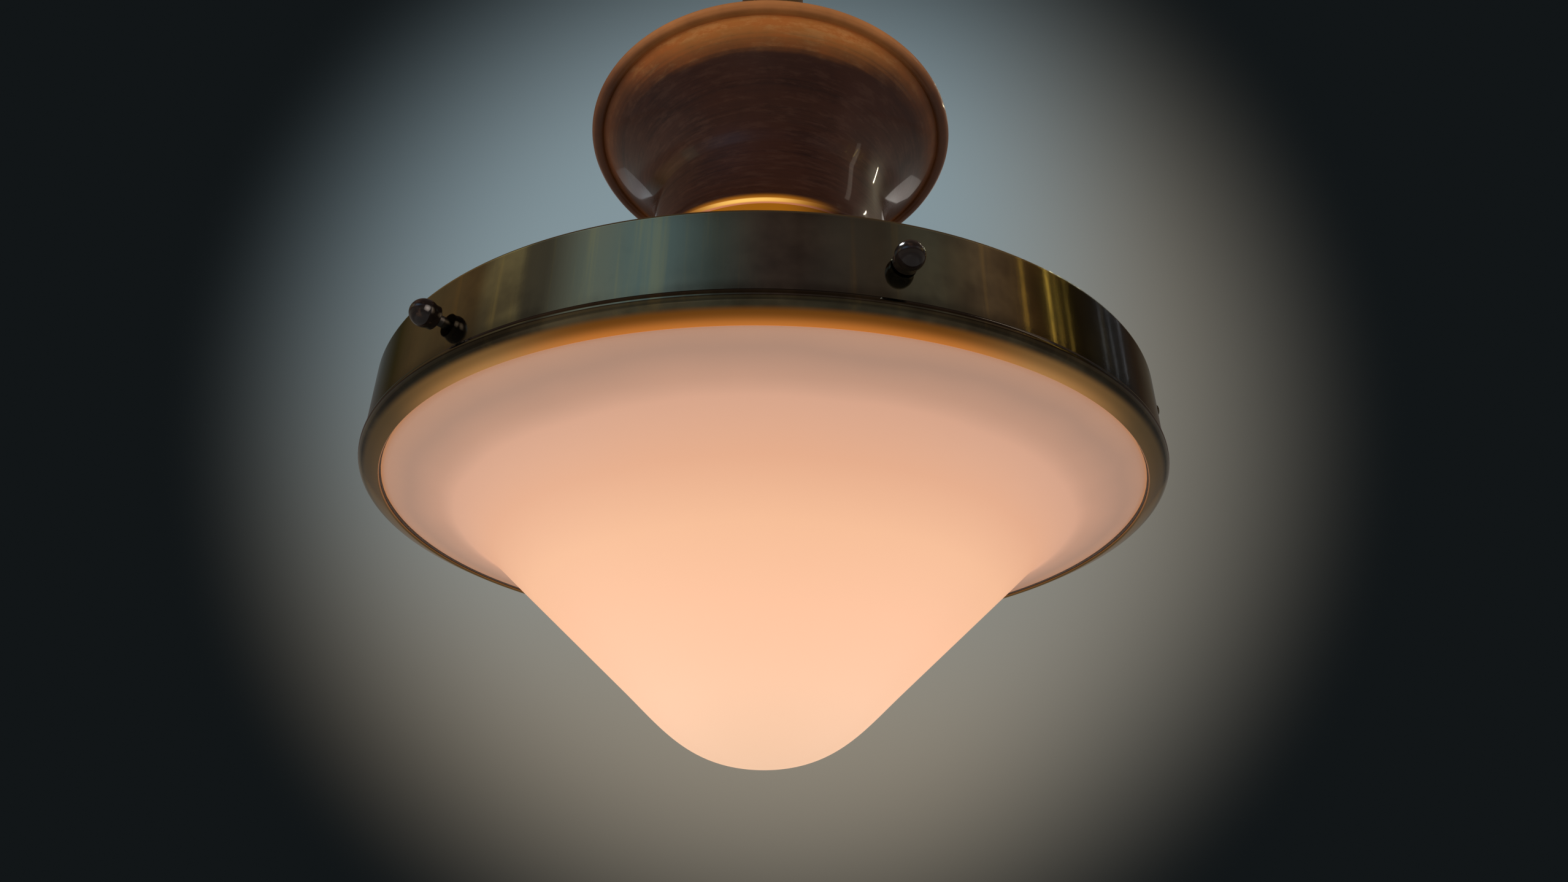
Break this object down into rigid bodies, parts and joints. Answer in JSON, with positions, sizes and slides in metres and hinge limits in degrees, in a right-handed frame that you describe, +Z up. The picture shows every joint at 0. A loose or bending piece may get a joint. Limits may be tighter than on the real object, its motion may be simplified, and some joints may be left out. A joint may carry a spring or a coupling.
{
  "type": "ceiling lamp",
  "caption": "Stem-hung ceiling lamp with an opal glass bowl in a brass hoop, a spun roof and a copper trumpet below a ceiling rose.",
  "frame": {"origin": "on the ceiling, midway between the strap's two screw holes, on the lamp's axis", "axes": "+Z up along the stem into the ceiling, +X along the steel strap, -Y towards the lamp's front"},
  "size_m": [0.352, 0.3595, 0.5716],
  "materials": {
    "zinc_steel": "dull zinc plate",
    "bright_brass": "turned brass",
    "ivory_block": "smooth moulded",
    "brown_wire": "smooth insulation",
    "blue_wire": "smooth insulation",
    "green_wire": "smooth insulation",
    "aged_brass": "aged and polished, spun",
    "stem_brass": "polished, drawn tube",
    "trumpet_copper": "dark glossy copper, spun",
    "roof_brass": "aged, spun",
    "porcelain": "glazed white",
    "black_glass": "glossy",
    "cap_metal": "drawn shell",
    "bulb_glass": "clear",
    "mount_glass": "clear",
    "filament": "coiled wire",
    "hoop_brass": "aged and polished",
    "opal_glass": "smooth opal, lit from inside",
    "grey_felt": "pressed felt",
    "dark_steel": "blackened",
    "black_ball": "glossy black ball"
  },
  "bodies": {
    "frame": {"ceiling_strap": "zinc_steel", "upper_nipple": "zinc_steel", "strap_nuts": "zinc_steel", "strap_washers": "zinc_steel", "earth_screw": "bright_brass", "terminal_block": "ivory_block", "terminal_screws": "bright_brass", "block_screws": "zinc_steel", "live_wire": "brown_wire", "neutral_wire": "blue_wire", "earth_wire": "green_wire", "stem": "stem_brass", "top_plug": "stem_brass", "bottom_plug": "stem_brass", "drop_tube": "bright_brass", "trumpet": "trumpet_copper", "vent_spacer": "bright_brass", "spider": "zinc_steel", "clamp_washer": "zinc_steel", "clamp_nut": "zinc_steel", "spider_screws": "bright_brass", "spider_nuts": "zinc_steel", "roof": "roof_brass", "holder_cap": "bright_brass", "holder_body": "porcelain", "holder_shell": "bright_brass", "holder_contact": "bright_brass", "holder_screws": "bright_brass"},
    "rose": {"ceiling_rose": "aged_brass", "rose_collar": "aged_brass", "rose_grub_screw": "bright_brass"},
    "hoop": {"hoop": "hoop_brass", "opal_glass": "opal_glass", "glass_felt": "grey_felt", "rim_felt": "grey_felt", "press_nuts": "zinc_steel", "hoop_rivet": "hoop_brass"},
    "bulb_end": {"bulb_contact": "black_glass"},
    "bulb": {"bulb_cap": "cap_metal", "bulb_glass": "bulb_glass", "bulb_mount": "mount_glass", "bulb_filament": "filament"},
    "shank_1": {"screw_shank_1": "dark_steel"},
    "knob_1": {"ball_knob_1": "black_ball"},
    "shank_2": {"screw_shank_2": "dark_steel"},
    "knob_2": {"ball_knob_2": "black_ball"},
    "shank_3": {"screw_shank_3": "dark_steel"},
    "knob_3": {"ball_knob_3": "black_ball"}
  },
  "joints": [
    {"name": "rose_slide", "type": "slide", "parent": "frame", "child": "rose", "axis": [0, 0, -1], "range_m": [0, 0.18]},
    {"name": "hoop_slide", "type": "slide", "parent": "frame", "child": "hoop", "axis": [0, 0, -1], "range_m": [0, 0.15]},
    {"name": "bulb_slide", "type": "slide", "parent": "frame", "child": "bulb_end", "axis": [0, 0, -1], "range_m": [0, 0.0254]},
    {"name": "bulb_turn", "type": "hinge", "parent": "bulb_end", "child": "bulb", "pos_m": [0, 0, -0.41302], "axis": [0, 0, -1], "range_deg": [0, 2520]},
    {"name": "shank_slide_1", "type": "slide", "parent": "hoop", "child": "shank_1", "axis": [0.2419, -0.9703, 0], "range_m": [0, 0.0056]},
    {"name": "knob_turn_1", "type": "hinge", "parent": "shank_1", "child": "knob_1", "pos_m": [0.04345, -0.17427, -0.4441], "axis": [0.2419, -0.9703, 0], "range_deg": [0, 2880]},
    {"name": "shank_slide_2", "type": "slide", "parent": "hoop", "child": "shank_2", "axis": [-0.6428, -0.766, 0], "range_m": [0, 0.0036]},
    {"name": "knob_turn_2", "type": "hinge", "parent": "shank_2", "child": "knob_2", "pos_m": [-0.11673, -0.13911, -0.4441], "axis": [-0.6428, -0.766, 0], "range_deg": [0, 1851.43]},
    {"name": "shank_slide_3", "type": "slide", "parent": "hoop", "child": "shank_3", "axis": [0.2419, 0.9703, 0], "range_m": [0, 0.0046]},
    {"name": "knob_turn_3", "type": "hinge", "parent": "shank_3", "child": "knob_3", "pos_m": [0.04369, 0.17524, -0.4441], "axis": [0.2419, 0.9703, 0], "range_deg": [0, 2365.71]}
  ],
  "couplings": [
    {"joint": "bulb_slide", "follows": "bulb_turn", "m_per_rad": 0.0005775},
    {"joint": "knob_turn_1", "follows": "shank_slide_1", "rad_per_m": 8975.5},
    {"joint": "knob_turn_2", "follows": "shank_slide_2", "rad_per_m": 8975.5},
    {"joint": "knob_turn_3", "follows": "shank_slide_3", "rad_per_m": 8975.5}
  ]
}
